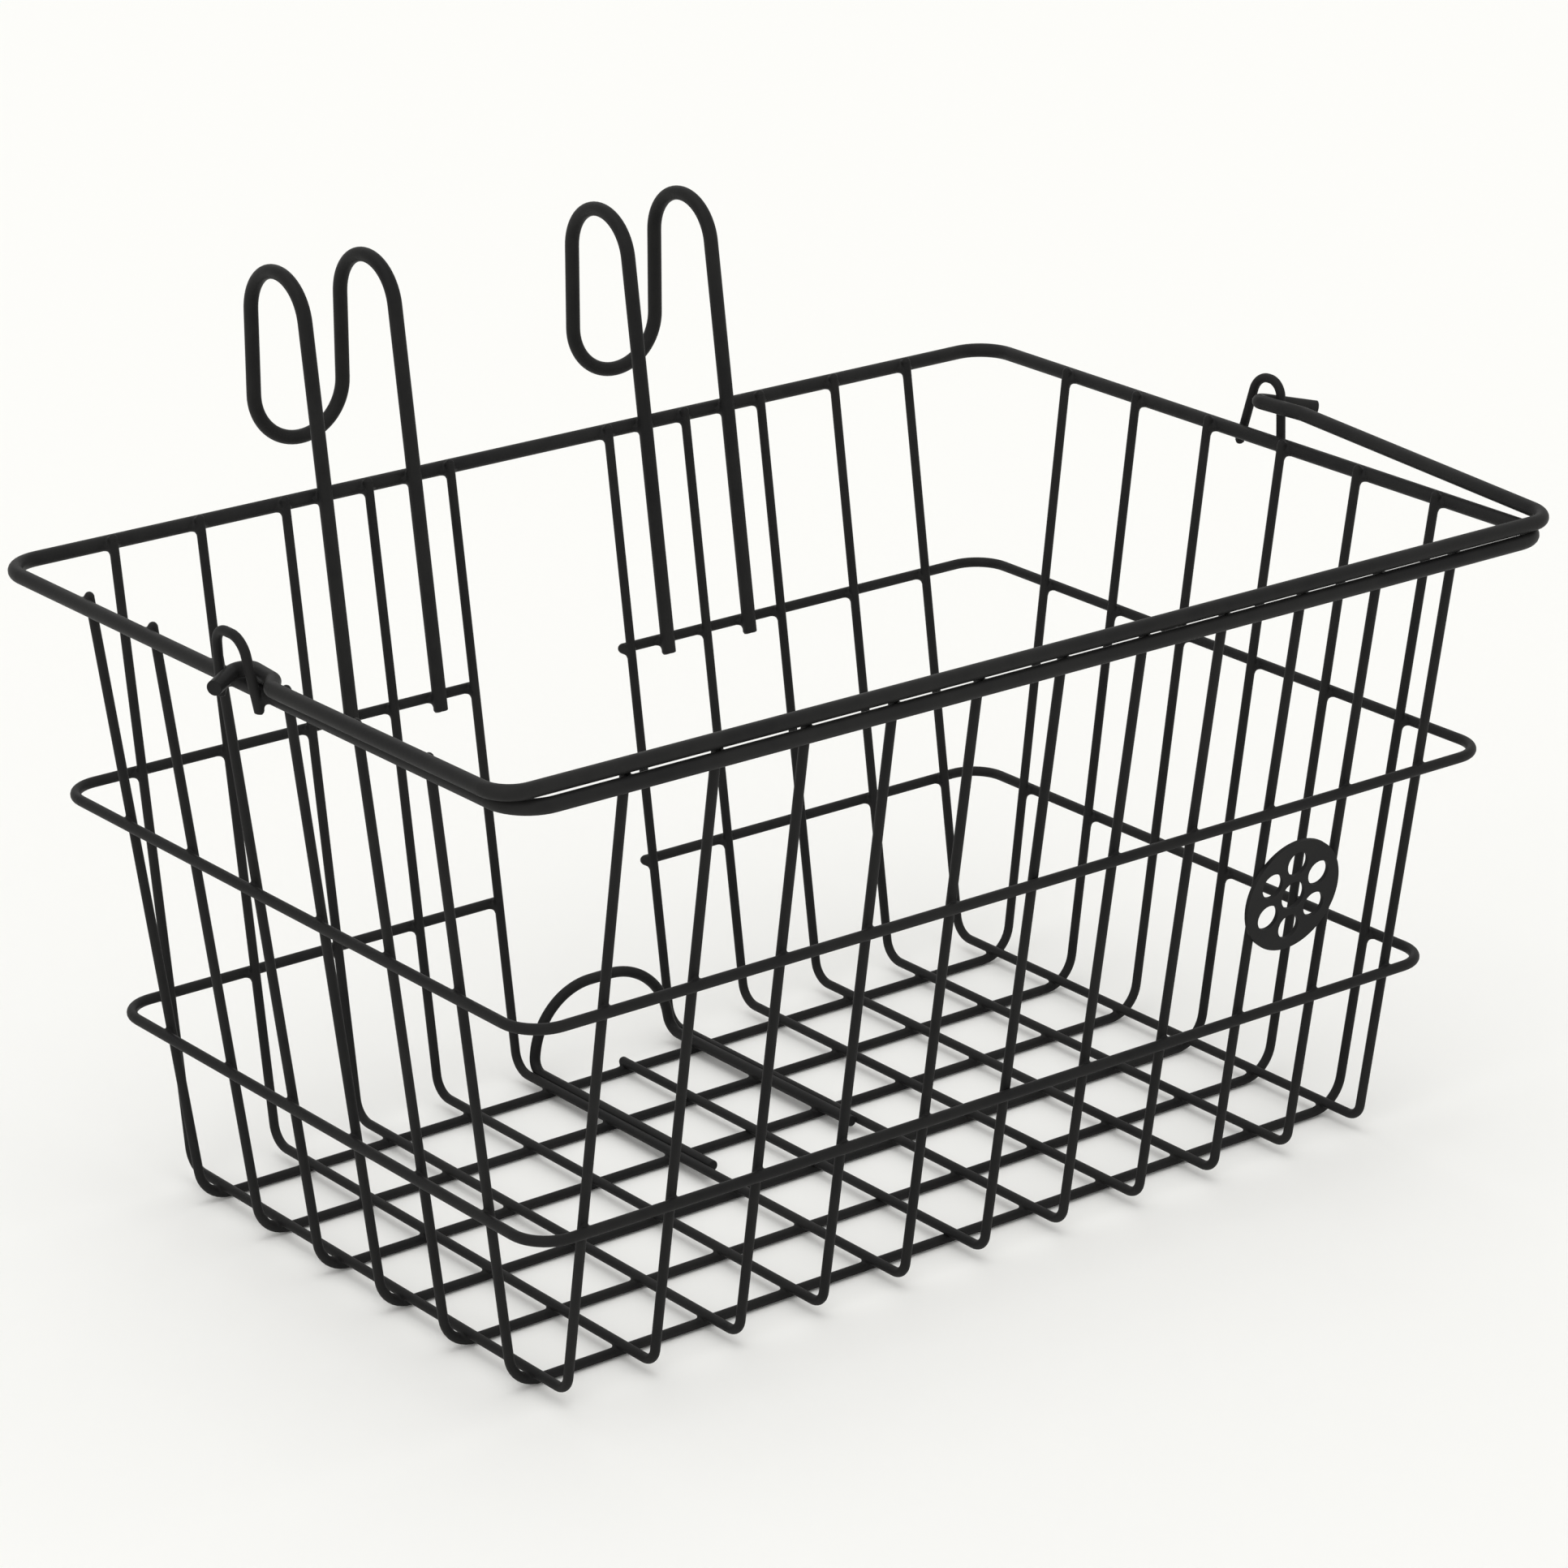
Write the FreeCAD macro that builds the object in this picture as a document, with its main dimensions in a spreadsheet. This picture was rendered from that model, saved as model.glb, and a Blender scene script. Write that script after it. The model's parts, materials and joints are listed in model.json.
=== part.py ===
import FreeCAD, Part
import math
import os
import Sketcher

# Handlebar basket: a welded, powder-coated wire basket with two double hooks that hang on a
# handlebar, a wire arch that rests against the head tube and a swinging carry handle.
# Frame: +X to the right, -Y to the front wall, +Y to the hooks, +Z up.
# Origin: the centre of the bounding box in plan, at the height that the basket stands on.
# The hooks reach further back than the handle reaches forward, so that point lies behind the
# middle of the floor, and every piece is placed forward of it by origin_back.

V = FreeCAD.Vector
X_AXIS = V(1, 0, 0)
Y_AXIS = V(0, 1, 0)
Z_AXIS = V(0, 0, 1)

DIMS = [
    ("origin_back", 16.0, "how far the origin lies behind the middle of the floor"),
    ("mesh_wire", 2.7, "diameter of the wall and floor wires, coated"),
    ("ring_wire", 3.0, "diameter of the two outer rings"),
    ("rim_wire", 4.2, "diameter of the top rim"),
    ("hook_wire", 4.2, "diameter of the hook wire"),
    ("handle_wire", 4.2, "diameter of the handle wire"),
    ("ear_wire", 2.7, "diameter of the ears that hold the handle"),
    ("arch_wire", 3.2, "diameter of the head tube arch"),
    ("weld_sink", 0.35, "how far crossing wires melt into each other"),
    ("ear_sink", 0.12, "the same, for an ear on the rim"),
    ("end_round", 0.3, "rounding of a coated wire end"),
    ("rim_half_x", 173.9, "rim axis, half its width"),
    ("rim_half_y", 119.6, "rim axis, half its depth"),
    ("rim_height", 180.0, "height of the rim axis"),
    ("rim_bend", 11.0, "corner radius of the rim axis"),
    ("lean_x", 0.138, "lean of the side walls, run over rise"),
    ("lean_y", 0.157, "lean of the front and rear walls"),
    ("depth_count", 11, "wires that run front to back"),
    ("depth_pitch", 28.0, "their spacing"),
    ("depth_bend_front", 4.8, "bend radius at the front edge of the floor"),
    ("depth_bend_rear", 6.5, "bend radius at its rear edge"),
    ("outer_wire_rise", 0.5, "height of the outermost two above the others, over the side bends"),
    ("stub_past_floor", 1.5, "how far the short middle wire passes the last floor wire"),
    ("width_count", 6, "wires that run side to side, under the others"),
    ("width_pitch", 29.4, "their spacing at the floor"),
    ("width_pitch_rim", 31.4, "their spacing at the rim"),
    ("width_bend", 10.0, "their bend radius at the floor"),
    ("upper_ring_height", 116.5, "height of the upper ring"),
    ("lower_ring_height", 53.0, "height of the lower ring"),
    ("ring_bend", 10.5, "corner radius of the rings"),
    ("ring_end_left", 26.9, "where the rings end, left of the middle"),
    ("ring_end_right", 26.5, "where the rings end, right of the middle"),
    ("hook_pitch", 56.0, "middle of a hook pair from the middle of the basket"),
    ("hook_half", 15.1, "half the distance between the two hooks of a pair"),
    ("hook_foot", 3.2, "how far a hook strand passes the upper ring"),
    ("hook_top", 240.8, "height of the axis at the top of a hook"),
    ("hook_reach", 151.0, "distance of the free legs behind the middle"),
    ("hook_bend", 13.8, "bend radius over the bar"),
    ("hook_low", 187.0, "height of the axis at the bend that joins a pair"),
    ("ear_left_y", -2.8, "middle of the left ear, front to back"),
    ("ear_left_top", 6.0, "half its width at the top"),
    ("ear_left_foot", 8.9, "half its width at the feet"),
    ("ear_right_y", -0.7, "middle of the right ear, front to back"),
    ("ear_right_top", 4.9, "half its width at the top"),
    ("ear_right_foot", 8.8, "half its width at the feet"),
    ("ear_left_rise", 15.5, "height of the left ear's top above the rim"),
    ("ear_right_rise", 16.5, "the same, right ear"),
    ("ear_drop", 4.2, "how far its feet pass below the rim axis"),
    ("ear_bend", 5.5, "bend radius at its top"),
    ("arch_half_foot", 25.0, "head tube arch: half the distance between its legs"),
    ("arch_half_top", 21.4, "half the distance between its sides at the top"),
    ("arch_front", -1.0, "front end of its legs"),
    ("arch_inset", 4.0, "how far it stands in front of the rear wall's foot"),
    ("arch_rise", 23.0, "its height above its legs"),
    ("arch_tilt", 1.0, "how far its top stands behind its foot"),
    ("arch_bend", 21.0, "bend radius of the arch"),
    ("arch_foot_bend", 4.5, "bend radius where the legs turn up"),
    ("handle_left_x", 177.3, "handle axis, left of the middle at its front corner"),
    ("handle_right_x", 175.9, "the same, right of the middle"),
    ("handle_front_left_y", 118.1, "left end of the front bar, in front of the middle"),
    ("handle_front_right_y", 119.3, "its right end, the same"),
    ("handle_front_z", 184.5, "height of the front bar at rest"),
    ("handle_bend", 8.0, "corner radius of the handle"),
    ("handle_left_z", 184.6, "height of the left pivot at rest"),
    ("handle_right_z", 191.2, "height of the right pivot at rest"),
    ("handle_neck_x", 174.0, "where the handle passes inside an ear"),
    ("handle_turn_x", 172.6, "where the handle turns outwards into its tails"),
    ("handle_left_turn", 2.0, "how far behind the middle it turns, left"),
    ("handle_right_turn", 1.2, "how far behind the middle it turns, right"),
    ("handle_neck_y", 14.5, "front end of the neck"),
    ("handle_jog_y", 18.8, "front end of the jog"),
    ("handle_jog_left_x", 177.5, "left jog, its outer end"),
    ("handle_jog_left_z", 184.2, "the same, height"),
    ("handle_jog_down", 0.6, "drop over the right jog"),
    ("tail_left_x", 187.0, "end of the left tail, sideways"),
    ("tail_left_y", 7.0, "the same, in front of the middle"),
    ("tail_left_drop", 1.4, "the same, below the pivot"),
    ("tail_right_x", 191.3, "end of the right tail, sideways"),
    ("tail_right_y", 8.6, "the same, in front of the middle"),
    ("tail_right_drop", 4.0, "the same, below the pivot"),
    ("handle_neck_bend", 3.2, "bend radius of the jog"),
    ("handle_tail_bend", 3.6, "bend radius where the tail turns outwards"),
    ("badge_dia", 33.6, "diameter of the badge"),
    ("badge_thick", 1.2, "its thickness"),
    ("badge_x", 96.3, "its middle, right of the middle of the basket"),
    ("badge_height", 88.3, "height of its middle"),
    ("badge_hole", 7.4, "diameter of each of its holes"),
    ("badge_hole_circle", 19.6, "diameter of the circle that the holes lie on"),
    ("badge_hub", 8.4, "diameter of its middle hole"),
    ("badge_holes", 6, "number of holes on the circle"),
    ("badge_sink", 0.05, "how far the wires melt into it"),
]

doc = FreeCAD.newDocument("handlebar_basket")
sheet = doc.addObject("Spreadsheet::Sheet", "Dims")
for row, (alias, value, note) in enumerate(DIMS, start=1):
    sheet.set("A%d" % row, alias)
    sheet.set("B%d" % row, str(value))
    sheet.setAlias("B%d" % row, alias)
    sheet.set("C%d" % row, note)
doc.recompute()


def dim(alias):
    """Value of one cell of the sheet."""
    return float(sheet.get(alias))


def value(expression):
    """Value of an expression over the sheet's cells, worked out in a spare cell."""
    sheet.set("E1", "=" + expression)
    sheet.recompute()
    result = float(sheet.get("E1"))
    sheet.clear("E1")
    return result


def bound(expression):
    """The same expression as another object writes it."""
    for alias, _, _ in sorted(DIMS, key=lambda entry: -len(entry[0])):
        expression = expression.replace("<%s>" % alias, "Dims." + alias)
    return expression


def plain(expression):
    """The same expression as the sheet itself writes it."""
    return expression.replace("<", "").replace(">", "")


# ---- expressions used by more than one piece ----
WALL_Y = "(<rim_half_y> - (<rim_wire> + <mesh_wire>) / 2 + <weld_sink>)"
WALL_X = "(<rim_half_x> - (<rim_wire> + <mesh_wire>) / 2 + <weld_sink>)"
WIRE_TOP = "(<rim_height> + <rim_wire> / 2)"
WIDTH_Z = "(<mesh_wire> / 2)"
DEPTH_Z = "(1.5 * <mesh_wire> - <weld_sink>)"


def wall(face, height):
    """Half distance of the wall wires' axis at a height, on a lean_x or lean_y wall."""
    top = WALL_X if face == "x" else WALL_Y
    return "(%s - (<rim_height> - %s) * <lean_%s>)" % (top, height, face)


def tangent_points(corners, bends, closed):
    """Lines and arcs of a polyline whose corners are rounded, as point lists."""
    count = len(corners)
    turns = range(count) if closed else range(1, count - 1)
    found = {}
    for turn, bend in zip(turns, bends):
        corner = corners[turn]
        back = (corners[turn - 1] - corner).normalize()
        ahead = (corners[(turn + 1) % count] - corner).normalize()
        half = back.getAngle(ahead) / 2
        middle = corner + (back + ahead).normalize() * (bend / math.sin(half) - bend)
        cut = bend / math.tan(half)
        found[turn] = (corner + back * cut, middle, corner + ahead * cut)
    runs = []
    here = found[0][2] if closed else corners[0]
    order = [turn % count for turn in range(1, count + 1)] if closed else list(turns)
    for turn in order:
        start, middle, end = found[turn]
        runs.append((here, start))
        runs.append((start, middle, end))
        here = end
    if not closed:
        runs.append((here, corners[-1]))
    return runs


def path_length(runs):
    """Length of the lines and arcs together."""
    edges = [run_edge(run) for run in runs]
    return sum(edge.Length for edge in edges)


def run_edge(run):
    """One line or arc as an edge."""
    if len(run) == 2:
        return Part.LineSegment(*run).toShape()
    return Part.Arc(*run).toShape()


def origin_plane(body, role):
    """One of a body's own origin planes."""
    return next(item for item in body.Origin.OriginFeatures if item.Role == role)


def path_sketch(body, role, corners, bends, closed):
    """A sketch of a rounded polyline, each corner and bend bound to the sheet."""
    path = body.newObject("Sketcher::SketchObject", body.Name + "_path")
    path.AttachmentSupport = [(origin_plane(body, role), "")]
    path.MapMode = "FlatFace"
    flat = [V(value(plain(a)), value(plain(b)), 0) for a, b in corners]
    radii = [value(plain(bend)) for bend in bends]
    runs = tangent_points(flat, radii, closed)
    for run in runs:
        if len(run) == 2:
            path.addGeometry(Part.LineSegment(*run), False)
        else:
            path.addGeometry(Part.Arc(*run), False)
    pieces = len(runs)
    marks = []
    for number, (spot, (across, up)) in enumerate(zip(flat, corners)):
        mark = path.addGeometry(Part.Point(spot), True)
        marks.append(mark)
        for kind, offset, expression in (("DistanceX", spot.x, across), ("DistanceY", spot.y, up)):
            name = "%s_%d" % (kind, number)
            index = path.addConstraint(Sketcher.Constraint(kind, -1, 1, mark, 1, offset))
            path.renameConstraint(index, name)
            path.setExpression("Constraints." + name, bound(expression))
    turn_of_arc = 0
    for piece in range(1, pieces, 2):
        bend_name = "bend_%d" % turn_of_arc
        arc = path.Geometry[piece]
        index = path.addConstraint(Sketcher.Constraint("Radius", piece, arc.Radius))
        path.renameConstraint(index, bend_name)
        order = (turn_of_arc + 1) % len(bends) if closed else turn_of_arc
        path.setExpression("Constraints." + bend_name, bound(bends[order]))
        turn_of_arc += 1
        before = piece - 1
        after = (piece + 1) % pieces
        for line, line_end, meeting in ((before, 2, path_end(path, piece, before, 2)),
                                        (after, 1, path_end(path, piece, after, 1))):
            path.addConstraint(Sketcher.Constraint("Tangent", line, line_end, piece, meeting))
    for line in range(0, pieces, 2):
        number = line // 2
        ends = (number, (number + 1) % len(flat))
        for side, corner in enumerate(ends):
            if not closed and (corner in (0, len(flat) - 1)):
                continue
            path.addConstraint(Sketcher.Constraint("PointOnObject", marks[corner], 1, line))
    if not closed:
        path.addConstraint(Sketcher.Constraint("Coincident", 0, 1, marks[0], 1))
        path.addConstraint(Sketcher.Constraint("Coincident", pieces - 1, 2, marks[-1], 1))
    return path, runs


def path_end(path, arc, line, line_end):
    """Which end of an arc a line's end meets."""
    spot = path.getPoint(line, line_end)
    near = (path.getPoint(arc, 1) - spot).Length < (path.getPoint(arc, 2) - spot).Length
    return 1 if near else 2


def round_wire(name, role, corners, bends, wire, closed=False):
    """A body: a round wire along a rounded polyline in one of its origin planes."""
    body = doc.addObject("PartDesign::Body", name)
    body.Label = name
    path, runs = path_sketch(body, role, corners, bends, closed)
    doc.recompute()
    section = body.newObject("Sketcher::SketchObject", name + "_section")
    section.AttachmentSupport = [(path, "Edge1")]
    section.MapMode = "NormalToEdge"
    section.MapPathParameter = 0.0
    section.addGeometry(Part.Circle(V(0, 0, 0), Z_AXIS, dim(wire) / 2), False)
    section.addConstraint(Sketcher.Constraint("Coincident", 0, 3, -1, 1))
    size = section.addConstraint(Sketcher.Constraint("Diameter", 0, dim(wire)))
    section.renameConstraint(size, "wire")
    section.setExpression("Constraints.wire", bound("<%s>" % wire))
    doc.recompute()
    pipe = body.newObject("PartDesign::AdditivePipe", name + "_pipe")
    pipe.Profile = section
    pipe.Spine = (path, ["Edge%d" % (number + 1) for number in range(len(runs))])
    doc.recompute()
    body.Tip = pipe
    if not closed:
        ends = (runs[0][0], runs[-1][-1])
        to_world = path.Placement
        spots = [to_world.multVec(spot) for spot in ends]
        rims = ["Edge%d" % (number + 1) for number, edge in enumerate(pipe.Shape.Edges)
                if is_end_circle(edge, spots)]
        rounding = body.newObject("PartDesign::Fillet", name + "_ends")
        rounding.Base = (pipe, rims)
        rounding.Radius = dim("end_round")
        rounding.setExpression("Radius", bound("<end_round>"))
        doc.recompute()
        body.Tip = rounding
    expected[name] = (path_length(runs), dim(wire))
    nodes[name] = body
    return body


def is_end_circle(edge, spots):
    """Whether an edge is the round outline of a wire's end."""
    if not isinstance(edge.Curve, Part.Circle):
        return False
    return any((edge.Curve.Center - spot).Length < 0.01 for spot in spots)


def free_wire(name, corners, bends, wire):
    """A wire bent out of one plane: its route doesn't lie in a sketch."""
    runs = tangent_points(corners, bends, False)
    route = Part.Wire([run_edge(run) for run in runs])
    start, ahead = corners[0], corners[1] - corners[0]
    ring = Part.Wire([Part.Circle(start, ahead, dim(wire) / 2).toShape()])
    solid = Part.Solid(route.makePipeShell([ring], True, True))
    spots = (corners[0], corners[-1])
    rims = [edge for edge in solid.Edges if is_end_circle(edge, spots)]
    item = doc.addObject("Part::Feature", name)
    item.Label = name
    item.Shape = solid.makeFillet(dim("end_round"), rims)
    item.Placement = FreeCAD.Placement(V(0, -dim("origin_back"), 0), FreeCAD.Rotation())
    expected[name] = (route.Length, dim(wire))
    nodes[name] = item
    return item


def place(item, x="0", y="0", z="0"):
    """Bind an object's position, given from the middle of the floor, to the sheet."""
    item.setExpression("Placement.Base.x", bound(x))
    item.setExpression("Placement.Base.y", bound("%s - <origin_back>" % y))
    item.setExpression("Placement.Base.z", bound(z))


expected = {}
nodes = {}

# ---- rim and rings ----
round_wire("top_rim", "XY_Plane",
           [("-<rim_half_x>", "-<rim_half_y>"), ("<rim_half_x>", "-<rim_half_y>"),
            ("<rim_half_x>", "<rim_half_y>"), ("-<rim_half_x>", "<rim_half_y>")],
           ["<rim_bend>"] * 4, "rim_wire", closed=True)
place(nodes["top_rim"], z="<rim_height>")

RING_OFF = "((<mesh_wire> + <ring_wire>) / 2 - <weld_sink>) * sqrt(1 + <lean_%s> * <lean_%s>)"
for name in ("upper_ring", "lower_ring"):
    height = "<%s_height>" % name
    side = "(%s + %s)" % (wall("x", height), RING_OFF % ("x", "x"))
    ends = "(%s + %s)" % (wall("y", height), RING_OFF % ("y", "y"))
    round_wire(name, "XY_Plane",
               [("-<ring_end_left>", ends), ("-" + side, ends), ("-" + side, "-" + ends),
                (side, "-" + ends), (side, ends), ("<ring_end_right>", ends)],
               ["<ring_bend>"] * 4, "ring_wire")
    place(nodes[name], z=height)

# ---- floor and wall wires, front to back ----
depth_total = int(dim("depth_count"))
middle_wire = (depth_total + 1) // 2
stub_end = "((<width_count> - 1) / 2 * <width_pitch> + <stub_past_floor>)"
for number in range(1, depth_total + 1):
    name = "depth_wire_%02d" % number
    outermost = number in (1, depth_total)
    floor = "(%s + <outer_wire_rise>)" % DEPTH_Z if outermost else DEPTH_Z
    corners = [("-" + wall("y", WIRE_TOP), WIRE_TOP), ("-" + wall("y", floor), floor)]
    if number == middle_wire:
        corners.append((stub_end, floor))
    else:
        corners += [(wall("y", floor), floor), (wall("y", WIRE_TOP), WIRE_TOP)]
    bends = ["<depth_bend_front>", "<depth_bend_rear>"][:len(corners) - 2]
    round_wire(name, "YZ_Plane", corners, bends, "mesh_wire")
    place(nodes[name], x="(%d - (<depth_count> + 1) / 2) * <depth_pitch>" % number)

# ---- floor and wall wires, side to side; the outer ones lean a little ----
RISE = "(%s - %s)" % (WIRE_TOP, WIDTH_Z)
for number in range(1, int(dim("width_count")) + 1):
    name = "width_wire_%d" % number
    step = "((<width_count> + 1) / 2 - %d)" % number
    sideways = "(%s * (<width_pitch_rim> - <width_pitch>))" % step
    length = "sqrt(%s * %s + %s * %s)" % (RISE, RISE, sideways, sideways)
    round_wire(name, "XZ_Plane",
               [("-" + wall("x", WIRE_TOP), length), ("-" + wall("x", WIDTH_Z), "0"),
                (wall("x", WIDTH_Z), "0"), (wall("x", WIRE_TOP), length)],
               ["<width_bend>"] * 2, "mesh_wire")
    body = nodes[name]
    body.Placement.Rotation = FreeCAD.Rotation(X_AXIS, 1.0)
    body.setExpression("Placement.Rotation.Angle", bound("atan(%s / %s)" % (sideways, RISE)))
    body.setExpression("Placement.Rotation.Axis.x", "-1")
    place(body, y="%s * <width_pitch>" % step, z=WIDTH_Z)

# ---- double hooks ----
lean_y = dim("lean_y")
strand_off = ((dim("rim_wire") + dim("hook_wire")) / 2 - dim("weld_sink")) * math.hypot(1, lean_y)


def strand_y(height):
    """Hook strands lie against the inside of the rim and the upper ring."""
    return dim("rim_half_y") - strand_off - (dim("rim_height") - height) * lean_y


hook_foot = dim("upper_ring_height") - dim("hook_foot")
hook_top = dim("hook_top")
for name, side in (("hook_left", -1), ("hook_right", 1)):
    near = side * dim("hook_pitch") - dim("hook_half")
    far = side * dim("hook_pitch") + dim("hook_half")
    reach = dim("hook_reach")
    low = dim("hook_low")
    route = [V(near, strand_y(hook_foot), hook_foot), V(near, strand_y(hook_top), hook_top),
             V(near, reach, hook_top), V(near, reach, low), V(far, reach, low),
             V(far, reach, hook_top), V(far, strand_y(hook_top), hook_top),
             V(far, strand_y(hook_foot), hook_foot)]
    over = dim("hook_bend")
    under = dim("hook_half") - 0.05
    free_wire(name, route, [over, over, under, under, over, over], "hook_wire")

# ---- ears ----
EAR_OFF = "((<rim_wire> + <ear_wire>) / 2 - <ear_sink>) * sqrt(1 + <lean_x> * <lean_x>)"
for name, sign in (("ear_left", "-"), ("ear_right", "")):
    foot, top, rise = ("<%s_%s>" % (name, part) for part in ("foot", "top", "rise"))
    round_wire(name, "YZ_Plane",
               [("-" + foot, "-<ear_drop>"), ("-" + top, rise),
                (top, rise), (foot, "-<ear_drop>")],
               ["<ear_bend>"] * 2, "ear_wire")
    body = nodes[name]
    body.Placement.Rotation = FreeCAD.Rotation(Y_AXIS, 1.0)
    body.setExpression("Placement.Rotation.Angle", bound("%s1 * atan(<lean_x>)" % sign))
    place(body, x="%s(<rim_half_x> + %s)" % (sign, EAR_OFF), y="<%s_y>" % name, z="<rim_height>")

# ---- head tube arch ----
arch_z = dim("mesh_wire") + dim("arch_wire") / 2 - dim("weld_sink")
arch_y = value(plain(wall("y", "%.4f" % arch_z))) - dim("arch_inset")
foot, top = dim("arch_half_foot"), dim("arch_half_top")
arch_top_y = arch_y + dim("arch_tilt")
arch_top_z = arch_z + dim("arch_rise")
route = [V(-foot, dim("arch_front"), arch_z), V(-foot, arch_y, arch_z),
         V(-top, arch_top_y, arch_top_z), V(top, arch_top_y, arch_top_z),
         V(foot, arch_y, arch_z), V(foot, dim("arch_front"), arch_z)]
bends = [dim("arch_foot_bend"), dim("arch_bend"), dim("arch_bend"), dim("arch_foot_bend")]
free_wire("head_tube_arch", route, bends, "arch_wire")

# ---- carry handle, lying on the front of the rim ----
front_z = dim("handle_front_z")
neck_x, turn_x = dim("handle_neck_x"), dim("handle_turn_x")
neck_y, jog_y = dim("handle_neck_y"), dim("handle_jog_y")
left_z, right_z = dim("handle_left_z"), dim("handle_right_z")
right_x = dim("handle_right_x")
route = [V(-dim("tail_left_x"), -dim("tail_left_y"), left_z - dim("tail_left_drop")),
         V(-turn_x, dim("handle_left_turn"), left_z),
         V(-neck_x, -neck_y, left_z),
         V(-dim("handle_jog_left_x"), -jog_y, dim("handle_jog_left_z")),
         V(-dim("handle_left_x"), -dim("handle_front_left_y"), front_z),
         V(right_x, -dim("handle_front_right_y"), front_z),
         V(right_x, -jog_y, right_z - dim("handle_jog_down")),
         V(neck_x, -neck_y, right_z),
         V(turn_x, dim("handle_right_turn"), right_z),
         V(dim("tail_right_x"), -dim("tail_right_y"), right_z - dim("tail_right_drop"))]
neck, tail, corner = dim("handle_neck_bend"), dim("handle_tail_bend"), dim("handle_bend")
free_wire("carry_handle", route, [tail, neck, neck, corner, corner, neck, neck, tail],
          "handle_wire")

# ---- badge: a plain disc with a ring of round holes ----
badge = doc.addObject("PartDesign::Body", "badge")
badge.Label = "badge"
outline = badge.newObject("Sketcher::SketchObject", "badge_outline")
outline.AttachmentSupport = [(origin_plane(badge, "XY_Plane"), "")]
outline.MapMode = "FlatFace"
for index, alias in enumerate(("badge_dia", "badge_hub")):
    outline.addGeometry(Part.Circle(V(0, 0, 0), Z_AXIS, dim(alias) / 2), False)
    outline.addConstraint(Sketcher.Constraint("Coincident", index, 3, -1, 1))
    size = outline.addConstraint(Sketcher.Constraint("Diameter", index, dim(alias)))
    outline.renameConstraint(size, alias)
    outline.setExpression("Constraints." + alias, bound("<%s>" % alias))
disc = badge.newObject("PartDesign::Pad", "badge_disc")
disc.Profile = outline
disc.setExpression("Length", bound("<badge_thick>"))
doc.recompute()
hole = badge.newObject("Sketcher::SketchObject", "badge_hole_outline")
hole.AttachmentSupport = [(origin_plane(badge, "XY_Plane"), "")]
hole.MapMode = "FlatFace"
hole.addGeometry(Part.Circle(V(0, dim("badge_hole_circle") / 2, 0), Z_AXIS, dim("badge_hole") / 2))
hole.addConstraint(Sketcher.Constraint("DistanceX", -1, 1, 0, 3, 0.0))
across = hole.addConstraint(Sketcher.Constraint("DistanceY", -1, 1, 0, 3,
                                                dim("badge_hole_circle") / 2))
hole.renameConstraint(across, "circle")
hole.setExpression("Constraints.circle", bound("<badge_hole_circle> / 2"))
size = hole.addConstraint(Sketcher.Constraint("Diameter", 0, dim("badge_hole")))
hole.renameConstraint(size, "hole")
hole.setExpression("Constraints.hole", bound("<badge_hole>"))
cut = badge.newObject("PartDesign::Pocket", "badge_hole_cut")
cut.Profile = hole
cut.Type = "ThroughAll"
cut.Midplane = True
doc.recompute()
pattern = badge.newObject("PartDesign::PolarPattern", "badge_holes_cut")
pattern.Originals = [cut]
pattern.Axis = (outline, ["N_Axis"])
pattern.Angle = 360
pattern.setExpression("Occurrences", bound("<badge_holes>"))
badge.Tip = pattern
doc.recompute()
face_tilt = math.degrees(math.atan(lean_y))
back_off = dim("mesh_wire") / 2 - dim("badge_sink")
badge_y = value(plain(wall("y", "<badge_height>"))) + back_off * math.hypot(1, lean_y)
badge.Placement = FreeCAD.Placement(V(dim("badge_x"), -badge_y - dim("origin_back"),
                                      dim("badge_height")),
                                    FreeCAD.Rotation(X_AXIS, 90 + face_tilt))
nodes["badge"] = badge

# ---- checks, then the files ----
doc.recompute()
for item in doc.Objects:
    if "Invalid" in item.State or "Error" in item.State:
        raise RuntimeError("failed feature: " + item.Name)
for name, item in nodes.items():
    shape = item.Shape
    if shape.isNull() or not shape.isValid() or len(shape.Solids) != 1:
        raise RuntimeError("bad solid: " + name)
    if name in expected:
        length, wire = expected[name]
        full = length * math.pi * wire ** 2 / 4
        if abs(shape.Volume - full) > 0.01 * full + 2:
            raise RuntimeError("%s has volume %.1f, not %.1f" % (name, shape.Volume, full))

os.makedirs("parts", exist_ok=True)
for name, item in nodes.items():
    item.Shape.exportStep("parts/%s.step" % name)
    print(name, round(item.Shape.Volume, 1), [round(number, 2) for number in
          (item.Shape.BoundBox.XMin, item.Shape.BoundBox.XMax, item.Shape.BoundBox.YMin,
           item.Shape.BoundBox.YMax, item.Shape.BoundBox.ZMin, item.Shape.BoundBox.ZMax)])
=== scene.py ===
import json
import math

import bmesh
import bpy
import numpy as np
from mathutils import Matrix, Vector
from mathutils.bvhtree import BVHTree


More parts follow.
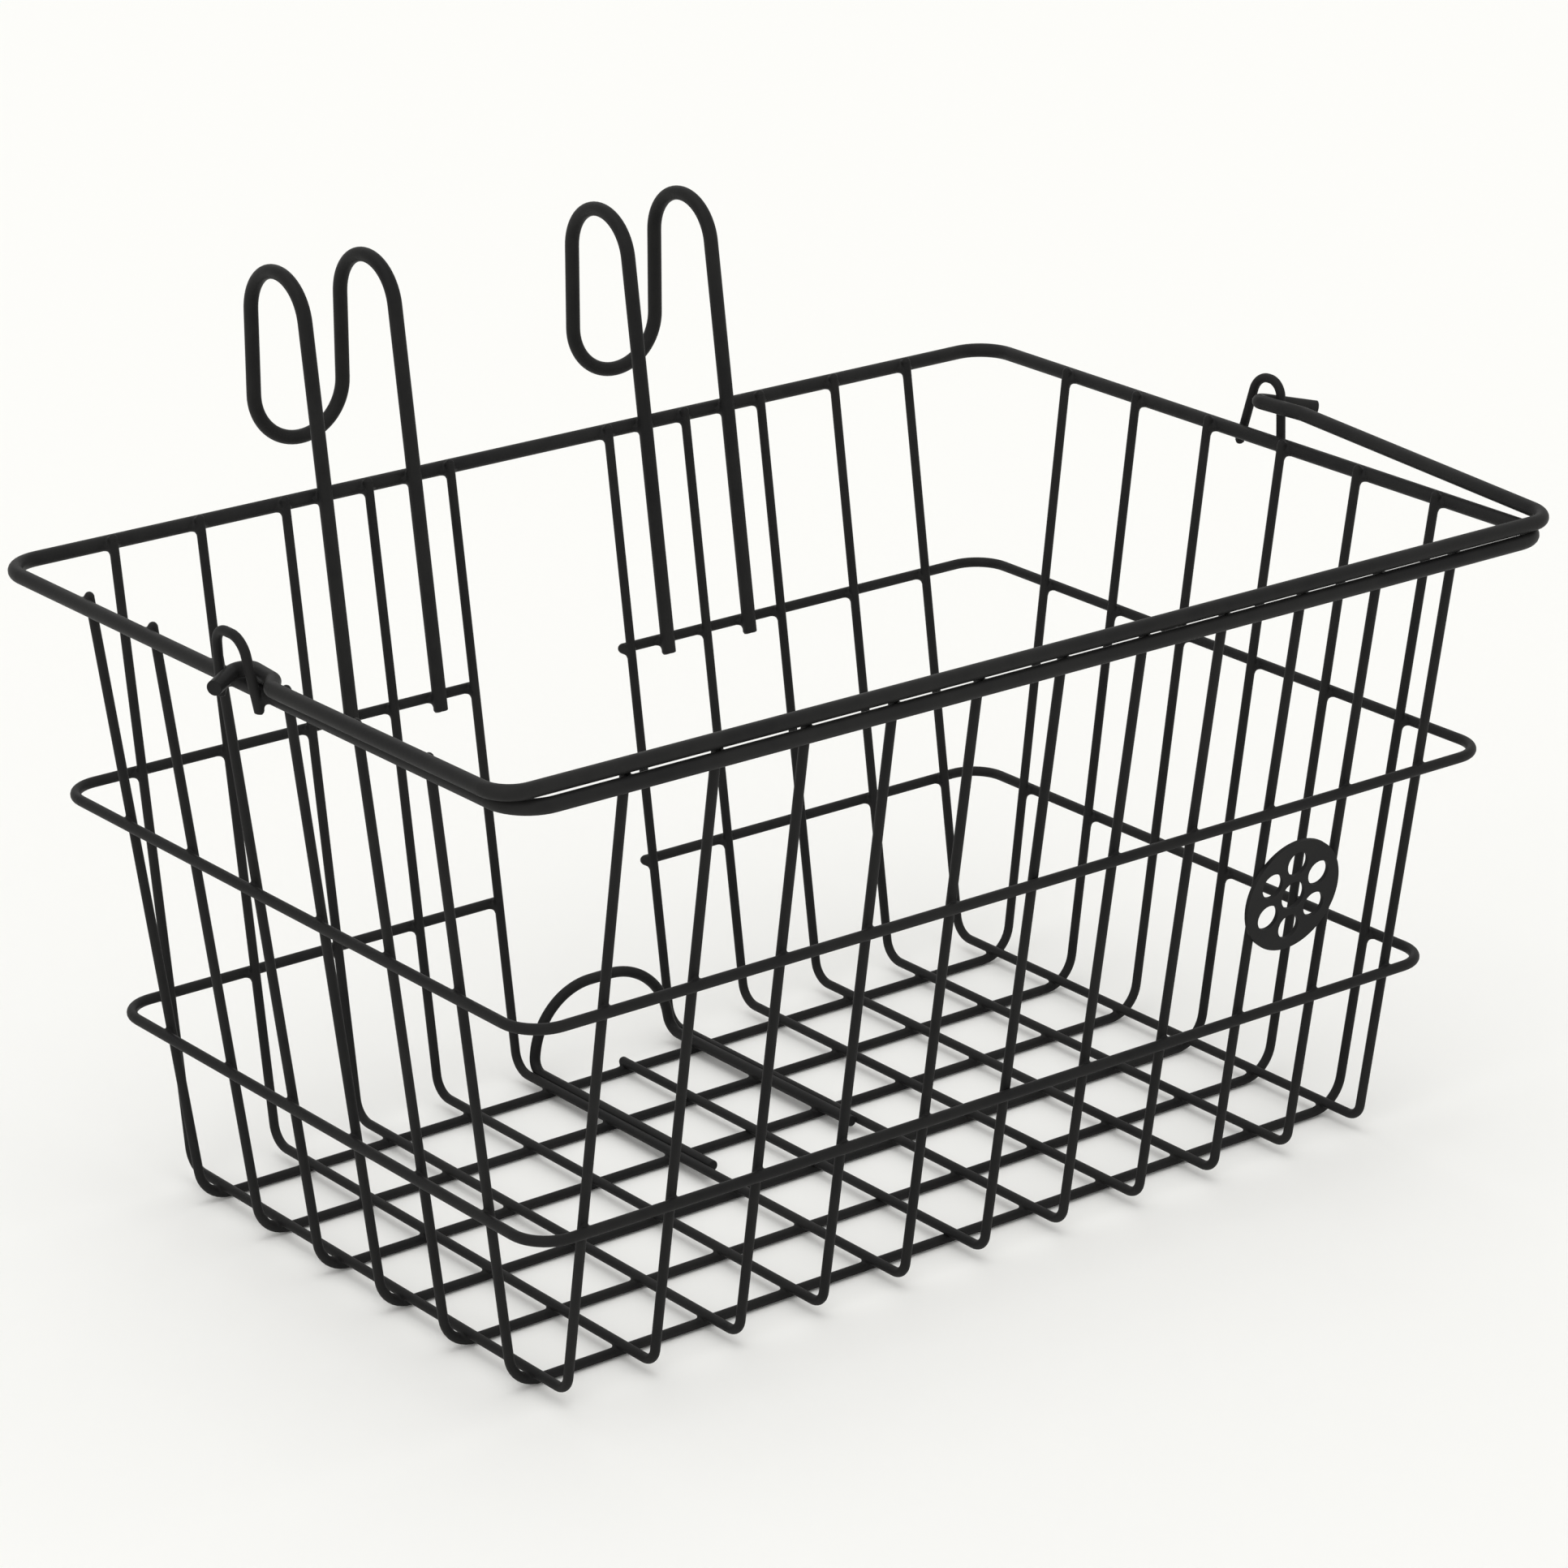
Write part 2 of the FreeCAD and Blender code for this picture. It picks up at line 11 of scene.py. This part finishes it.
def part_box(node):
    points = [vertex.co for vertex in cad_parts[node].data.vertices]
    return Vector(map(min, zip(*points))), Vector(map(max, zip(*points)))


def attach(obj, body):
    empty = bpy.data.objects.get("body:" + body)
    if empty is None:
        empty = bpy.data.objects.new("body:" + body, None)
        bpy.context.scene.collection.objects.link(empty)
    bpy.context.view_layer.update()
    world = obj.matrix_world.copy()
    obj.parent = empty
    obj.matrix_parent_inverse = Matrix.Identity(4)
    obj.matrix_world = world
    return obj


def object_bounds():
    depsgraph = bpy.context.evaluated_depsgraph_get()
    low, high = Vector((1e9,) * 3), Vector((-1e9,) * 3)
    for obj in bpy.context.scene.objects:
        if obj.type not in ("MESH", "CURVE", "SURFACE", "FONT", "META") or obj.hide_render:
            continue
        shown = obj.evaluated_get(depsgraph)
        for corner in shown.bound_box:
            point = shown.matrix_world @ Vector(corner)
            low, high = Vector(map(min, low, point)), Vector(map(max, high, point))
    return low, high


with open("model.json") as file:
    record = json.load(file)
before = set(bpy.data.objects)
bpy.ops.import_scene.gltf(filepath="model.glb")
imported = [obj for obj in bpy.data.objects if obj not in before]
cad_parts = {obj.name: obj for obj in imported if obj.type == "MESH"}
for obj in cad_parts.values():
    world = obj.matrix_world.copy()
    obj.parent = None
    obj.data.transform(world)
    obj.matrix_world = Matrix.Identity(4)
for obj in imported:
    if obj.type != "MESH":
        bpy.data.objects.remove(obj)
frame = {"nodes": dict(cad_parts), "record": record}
cad_box = [list(corner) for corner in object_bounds()]
nodes = frame["nodes"]
MM = 0.001

# ---------------------------------------------------------------- camera
VIEW_AZIMUTH = math.radians(-38.2517)
VIEW_ELEVATION = math.radians(20.4858)
VIEW_FROM = Vector((-0.89070, -1.14711, 0.65015))
SENSOR_WIDTH = 36.0
LENS = 127.703
CLIP_NEAR, CLIP_FAR = 0.05, 60


def make_camera():
    """The camera at the photograph's viewing angle."""
    data = bpy.data.cameras.new("camera")
    data.sensor_width = SENSOR_WIDTH
    data.lens = LENS
    data.clip_start, data.clip_end = CLIP_NEAR, CLIP_FAR
    data.dof.use_dof = False
    camera = bpy.data.objects.new("camera", data)
    bpy.context.scene.collection.objects.link(camera)
    back = Vector((math.sin(VIEW_AZIMUTH) * math.cos(VIEW_ELEVATION),
                   -math.cos(VIEW_AZIMUTH) * math.cos(VIEW_ELEVATION),
                   math.sin(VIEW_ELEVATION)))
    camera.location = VIEW_FROM
    camera.rotation_mode = "QUATERNION"
    camera.rotation_quaternion = (-back).to_track_quat("-Z", "Y")
    bpy.context.scene.camera = camera


# ---------------------------------------------------------------- studio
SURROUND_COLOUR = (1.0, 0.995, 0.975, 1)
SURROUND_STRENGTH = 0.79
FLOOR_COLOUR = (0.93, 0.93, 0.915, 1)
FLOOR_ROUGHNESS = 0.95
FLOOR_SPECULAR = 0.1
FLOOR_HALF_WIDTH = 12.0
FLOOR_CELLS = 24
FLOOR_GAP = 0.0002
LIGHTS = (              # name, where its light comes from, its spread in degrees, its strength
    ("light_top", (-0.5, -0.3, 3.2), 45, 0.62),
    ("light_left", (-3.0, -1.4, 2.2), 40, 0.24),
    ("light_rear", (1.4, 2.8, 2.4), 40, 0.18),
)


def make_studio():
    """A pale floor, an even pale surround and three soft lights."""
    world = bpy.data.worlds.new("studio")
    bpy.context.scene.world = world
    world.use_nodes = True
    background = world.node_tree.nodes["Background"]
    background.inputs["Color"].default_value = SURROUND_COLOUR
    background.inputs["Strength"].default_value = SURROUND_STRENGTH
    bpy.context.scene.view_settings.view_transform = "Standard"

    mesh = bpy.data.meshes.new("floor")
    grid = bmesh.new()
    bmesh.ops.create_grid(grid, x_segments=FLOOR_CELLS, y_segments=FLOOR_CELLS,
                          size=FLOOR_HALF_WIDTH)
    grid.to_mesh(mesh)
    grid.free()
    floor = bpy.data.objects.new("floor", mesh)
    bpy.context.scene.collection.objects.link(floor)
    floor.location.z = cad_box[0][2] - FLOOR_GAP
    mat = bpy.data.materials.new("floor_paper")
    mat.use_nodes = True
    shader = mat.node_tree.nodes["Principled BSDF"]
    shader.inputs["Base Color"].default_value = FLOOR_COLOUR
    shader.inputs["Roughness"].default_value = FLOOR_ROUGHNESS
    shader.inputs["Specular IOR Level"].default_value = FLOOR_SPECULAR
    mesh.materials.append(mat)

    for name, place, spread, strength in LIGHTS:
        data = bpy.data.lights.new(name, "SUN")
        data.angle = math.radians(spread)
        data.energy = strength
        light = bpy.data.objects.new(name, data)
        bpy.context.scene.collection.objects.link(light)
        light.location = place
        light.rotation_mode = "QUATERNION"
        light.rotation_quaternion = (-Vector(place)).to_track_quat("-Z", "Y")


# ---------------------------------------------------------------- powder coat
MIX_FACTOR, MIX_FIRST, MIX_SECOND, MIX_RESULT = 0, 6, 7, 2      # a colour Mix node's sockets
DRIFT_SCALE, CLOUD_SCALE = 22.0, 160.0      # tone over 45 mm and over 6 mm
PEEL_SCALE, GRAIN_SCALE = 950.0, 5200.0     # relief over 1 mm and over 0.2 mm
DRIFT_SHARE = 0.55
GRAIN_HEIGHT = 0.35
RELIEF = 0.00006
COAT_SPECULAR = 0.08
SEED_STEP = (0.37, 0.21, 0.53)


class Graph:
    """Short calls for building a material's nodes."""

    def __init__(self, material):
        self.tree = material.node_tree
        self.shader = self.tree.nodes["Principled BSDF"]
        self.place = self.add("ShaderNodeTexCoord").outputs["Object"]

    def add(self, kind, **settings):
        node = self.tree.nodes.new(kind)
        for key, value in settings.items():
            setattr(node, key, value)
        return node

    def put(self, value, socket):
        """Link a socket to another one's value, or set it to a plain value."""
        if isinstance(value, bpy.types.NodeSocket):
            self.tree.links.new(value, socket)
        else:
            socket.default_value = value

    def feed(self, node, **inputs):
        for key, value in inputs.items():
            self.put(value, node.inputs[key.replace("_", " ")])
        return node

    def noise(self, scale, detail=2.0, rough=0.5):
        node = self.feed(self.add("ShaderNodeTexNoise"), Vector=self.place, Scale=scale,
                         Detail=detail, Roughness=rough)
        return node.outputs["Fac"]

    def remap(self, fac, low, high, to_low, to_high):
        node = self.feed(self.add("ShaderNodeMapRange"), Value=fac, From_Min=low, From_Max=high,
                         To_Min=to_low, To_Max=to_high)
        return node.outputs["Result"]

    def math(self, operation, a, b):
        node = self.add("ShaderNodeMath", operation=operation)
        self.put(a, node.inputs[0])
        self.put(b, node.inputs[1])
        return node.outputs[0]

    def mix_colour(self, fac, a, b):
        node = self.add("ShaderNodeMix", data_type="RGBA")
        for value, number in ((fac, MIX_FACTOR), (a, MIX_FIRST), (b, MIX_SECOND)):
            self.put(value, node.inputs[number])
        return node.outputs[MIX_RESULT]


def grey(tone, red, green, blue):
    """A near-black colour with a slight tint."""
    return (tone * red, tone * green, tone * blue, 1)


def powder_coat(name, tone, rough, peel, seed):
    """Satin black powder coat: slow tone drift, orange peel, grain and a few light specks."""
    material = bpy.data.materials.new(name)
    material.use_nodes = True
    graph = Graph(material)
    shift = graph.feed(graph.add("ShaderNodeVectorMath", operation="ADD"))
    graph.tree.links.new(graph.place, shift.inputs[0])
    shift.inputs[1].default_value = tuple(seed * step for step in SEED_STEP)
    graph.place = shift.outputs[0]

    drift = graph.noise(DRIFT_SCALE)
    cloud = graph.noise(CLOUD_SCALE, detail=3.0)
    grain = graph.noise(GRAIN_SCALE)
    orange = graph.noise(PEEL_SCALE, rough=0.4)

    dark = grey(tone, 0.80, 0.80, 0.82)
    light = grey(tone, 1.22, 1.21, 1.19)
    blend = graph.math("ADD", graph.math("MULTIPLY", drift, DRIFT_SHARE),
                       graph.math("MULTIPLY", cloud, 1 - DRIFT_SHARE))
    body = graph.mix_colour(graph.remap(blend, 0.35, 0.65, 0.0, 1.0), dark, light)
    speck = graph.remap(grain, 0.70, 0.80, 0.0, 0.55)
    colour = graph.mix_colour(speck, body, grey(tone, 3.2, 3.2, 3.1))
    graph.feed(graph.shader, Base_Color=colour)

    gloss = graph.math("ADD", graph.remap(cloud, 0.3, 0.7, rough - 0.05, rough + 0.06),
                       graph.remap(grain, 0.3, 0.7, -0.03, 0.04))
    graph.feed(graph.shader, Roughness=gloss)
    height = graph.math("ADD", orange, graph.math("MULTIPLY", grain, GRAIN_HEIGHT))
    bump = graph.feed(graph.add("ShaderNodeBump"), Height=height, Strength=peel, Distance=RELIEF)
    graph.feed(graph.shader, Normal=bump.outputs["Normal"])
    graph.shader.inputs["Metallic"].default_value = 0.0
    graph.shader.inputs["Specular IOR Level"].default_value = COAT_SPECULAR
    graph.shader.inputs["Coat Weight"].default_value = 0.0
    return material


FINISHES = (            # slot, tone, roughness, strength of the orange peel
    ("rim_wire", 0.0166, 0.46, 0.55),
    ("ring_wire", 0.0156, 0.50, 0.6),
    ("mesh_wire", 0.0152, 0.50, 0.6),
    ("hook_wire", 0.0160, 0.47, 0.55),
    ("ear_wire", 0.0156, 0.50, 0.6),
    ("arch_wire", 0.0152, 0.50, 0.6),
    ("handle_wire", 0.0170, 0.45, 0.55),
    ("badge_plate", 0.0166, 0.52, 0.5),
)
COATS = {}
for seed, (slot, tone, rough, peel) in enumerate(FINISHES, start=1):
    COATS[slot] = powder_coat("coat_" + slot, tone, rough, peel, seed)

for row in frame["record"]["subparts"]:
    item = nodes[row["node"]]
    for number in range(len(item.material_slots)):
        item.material_slots[number].material = COATS[row["material_slot"]]


# ---------------------------------------------------------------- wire axes, read from the CAD
PROBES = 200                    # at least as many rays find a wire's diameter
PROBE_START = 0.01 * MM
RADIUS_STEP = 0.05              # mm
SAME_CENTRE = 0.02 * MM
RING_CORNERS = 24               # a circle of the mesh has at least this many
SHORTEST_SEGMENT = 0.05 * MM


def wire_axis(name):
    """(segment starts, segment ends, radius) of a bent wire's axis."""
    mesh = nodes[name].data
    spots = np.array([vertex.co for vertex in mesh.vertices])
    normals = np.zeros(len(mesh.loops) * 3, np.float32)
    mesh.corner_normals.foreach_get("vector", normals)
    normals = normals.reshape(-1, 3).astype(float)
    corner = np.zeros(len(mesh.loops), np.int32)
    mesh.loops.foreach_get("vertex_index", corner)
    tree = BVHTree.FromPolygons([vertex.co for vertex in mesh.vertices],
                                [tuple(face.vertices) for face in mesh.polygons])
    across = []
    for loop in range(0, len(corner), max(1, len(corner) // PROBES)):
        inward = -Vector(normals[loop])
        start = Vector(spots[corner[loop]]) + inward * PROBE_START
        hit = tree.ray_cast(start, inward)
        if hit[0] is not None:
            across.append(hit[3])
    radius = round(float(np.median(across)) / 2 / MM / RADIUS_STEP) * RADIUS_STEP * MM

    middles = spots[corner] - normals * radius
    keys = np.round(middles / SAME_CENTRE).astype(np.int64)
    _, group, count = np.unique(keys, axis=0, return_inverse=True, return_counts=True)
    group = group.ravel()
    keep = count >= RING_CORNERS
    centres = np.zeros((len(count), 3))
    for column in range(3):
        centres[:, column] = np.bincount(group, middles[:, column]) / count
    links = set()
    for face in mesh.polygons:
        loops = list(face.loop_indices)
        for one, two in zip(loops, loops[1:] + loops[:1]):
            a, b = int(group[one]), int(group[two])
            if a != b and keep[a] and keep[b]:
                links.add((min(a, b), max(a, b)))
    pairs = [(a, b) for a, b in links
             if np.linalg.norm(centres[a] - centres[b]) > SHORTEST_SEGMENT]
    starts = np.array([centres[a] for a, _ in pairs])
    ends = np.array([centres[b] for _, b in pairs])
    return starts, ends, radius


def nearest_between(a0, a1, b0, b1):
    """Closest points of every segment a to every segment b, as two arrays."""
    u = (a1 - a0)[:, None, :]
    v = (b1 - b0)[None, :, :]
    w = a0[:, None, :] - b0[None, :, :]
    uu, vv, uv = (u * u).sum(-1), (v * v).sum(-1), (u * v).sum(-1)
    uw, vw = (u * w).sum(-1), (v * w).sum(-1)
    det = np.maximum(uu * vv - uv * uv, 1e-18)
    s = np.clip((uv * vw - vv * uw) / det, 0, 1)
    t = np.clip((uv * s + vw) / vv, 0, 1)
    s = np.clip((uv * t - uw) / uu, 0, 1)
    return a0[:, None, :] + s[..., None] * u, b0[None, :, :] + t[..., None] * v


def to_wire(points, axis):
    """Signed distance of points to the surface of a wire's segments."""
    starts, ends, radius = axis
    along = ends - starts
    length = (along * along).sum(-1)
    best = np.full(len(points), 1e9)
    for start, step, square in zip(starts, along, length):
        share = np.clip(((points - start) @ step) / square, 0, 1)
        best = np.minimum(best, np.linalg.norm(points - start - share[:, None] * step, axis=1))
    return best - radius


# ---------------------------------------------------------------- welds
WELD_BLEND_UNDER = 2.6 * MM     # coat hangs in the corners below a crossing
WELD_BLEND_OVER = 1.1 * MM      # and is thin in those above it
WELD_BLEND_FLAT = 1.5 * MM      # floor wires lie flat on each other
WELD_REACH = 4.6 * MM           # how far from the crossing a weld's piece goes
WELD_INSET = 0.02 * MM          # keeps it just inside the wires where it ends
SIDE_SLOPE = 0.35               # over this slope a direction counts as fully up or down
HALVINGS = 14                   # of the search along each direction
BALL_LEVELS = 4
TOUCH_MARGIN = 0.02 * MM
SPOT_SPACING = 6 * MM           # nearer contacts of two wires are one weld


def ball_directions(levels):
    """Unit directions and faces of a finely divided icosahedron."""
    ball = bmesh.new()
    bmesh.ops.create_icosphere(ball, subdivisions=levels, radius=1.0)
    ball.verts.ensure_lookup_table()
    directions = np.array([vertex.co.normalized() for vertex in ball.verts])
    faces = [tuple(vertex.index for vertex in face.verts) for face in ball.faces]
    ball.free()
    return directions, faces


def near_part(axis, centre, within):
    """The segments of a wire's axis that pass near a point."""
    starts, ends, radius = axis
    along = ends - starts
    share = np.clip(((centre - starts) * along).sum(-1) / (along * along).sum(-1), 0, 1)
    gap = np.linalg.norm(starts + share[:, None] * along - centre, axis=1)
    close = gap < within
    return starts[close], ends[close], radius


def weld_mesh(centre, one, two, directions, flat):
    """Coat pooled in the corners of a crossing: the smooth union of two wires near a point."""
    one = near_part(one, centre, 2.5 * WELD_REACH)
    two = near_part(two, centre, 2.5 * WELD_REACH)
    over = WELD_BLEND_FLAT if flat else WELD_BLEND_OVER
    under = WELD_BLEND_FLAT if flat else WELD_BLEND_UNDER
    lift = np.clip(directions[:, 2] / SIDE_SLOPE, -1, 1)
    blend = under + (over - under) * (lift + 1) / 2

    def depth(radii):
        points = centre + directions * radii[:, None]
        a, b = to_wire(points, one), to_wire(points, two)
        mix = np.clip(1 - np.abs(a - b) / blend, 0, 1)
        far = np.clip(radii / WELD_REACH, 0, 1) ** 2
        return np.minimum(a, b) - blend / 4 * mix ** 2 + WELD_INSET * (1 + 4 * far)

    low = np.zeros(len(directions))
    high = np.full(len(directions), WELD_REACH)
    inside = depth(high) < 0
    for _ in range(HALVINGS):
        middle = (low + high) / 2
        solid = depth(middle) < 0
        low = np.where(solid, middle, low)
        high = np.where(solid, high, middle)
    radii = np.where(inside, WELD_REACH, low)
    return centre + directions * radii[:, None]


def crossings(names):
    """(wire, wire, place) of each spot where two wires of the basket are welded."""
    found = []
    for index, one in enumerate(names):
        for two in names[index + 1:]:
            a_low, a_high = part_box(one)
            b_low, b_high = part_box(two)
            if any(a_low[k] > b_high[k] + MM or b_low[k] > a_high[k] + MM for k in range(3)):
                continue
            a0, a1, a_radius = axes[one]
            b0, b1, b_radius = axes[two]
            on_a, on_b = nearest_between(a0, a1, b0, b1)
            gap = np.linalg.norm(on_a - on_b, axis=-1)
            order = np.argsort(gap, axis=None)
            spots = []
            for position in order:
                i, j = np.unravel_index(position, gap.shape)
                if gap[i, j] > a_radius + b_radius - TOUCH_MARGIN:
                    break
                share = a_radius / (a_radius + b_radius)
                spot = on_a[i, j] + (on_b[i, j] - on_a[i, j]) * share
                if all(np.linalg.norm(spot - other) > SPOT_SPACING for other in spots):
                    spots.append(spot)
            found += [(one, two, spot) for spot in spots]
    return found


def make_welds(name, chosen, slot, flat):
    """One piece with every weld of a group of crossings."""
    directions, faces = ball_directions(BALL_LEVELS)
    points, polygons = [], []
    for one, two, spot in chosen:
        base = len(points) * len(directions)
        points.append(weld_mesh(spot, axes[one], axes[two], directions, flat))
        polygons += [tuple(base + corner for corner in face) for face in faces]
    mesh = bpy.data.meshes.new(name)
    mesh.from_pydata(np.concatenate(points).tolist(), [], polygons)
    mesh.shade_smooth()
    mesh.materials.append(COATS[slot])
    piece = bpy.data.objects.new(name, mesh)
    bpy.context.scene.collection.objects.link(piece)
    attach(piece, "basket")


wires = [name for name in frame["record"]["behaviour"]["bodies"]["basket"] if name != "badge"]
axes = {name: wire_axis(name) for name in wires}
GROUPS = (              # name, wires whose welds it takes, slot, whether the wires lie flat
    ("welds_rim", ("top_rim",), "rim_wire", False),
    ("welds_rings", ("upper_ring", "lower_ring"), "ring_wire", False),
    ("welds_arch", ("head_tube_arch",), "arch_wire", True),
    ("welds_floor", (), "mesh_wire", True),
)
remaining = crossings(wires)
for name, members, slot, flat in GROUPS:
    chosen = [weld for weld in remaining
              if not members or weld[0] in members or weld[1] in members]
    remaining = [weld for weld in remaining if all(weld is not other for other in chosen)]
    make_welds(name, chosen, slot, flat)

# ---------------------------------------------------------------- badge edges
soften = nodes["badge"].modifiers.new("edge", "BEVEL")
soften.width = 0.18 * MM
soften.segments = 3
soften.limit_method = "ANGLE"
soften.angle_limit = math.radians(50)

make_camera()
make_studio()
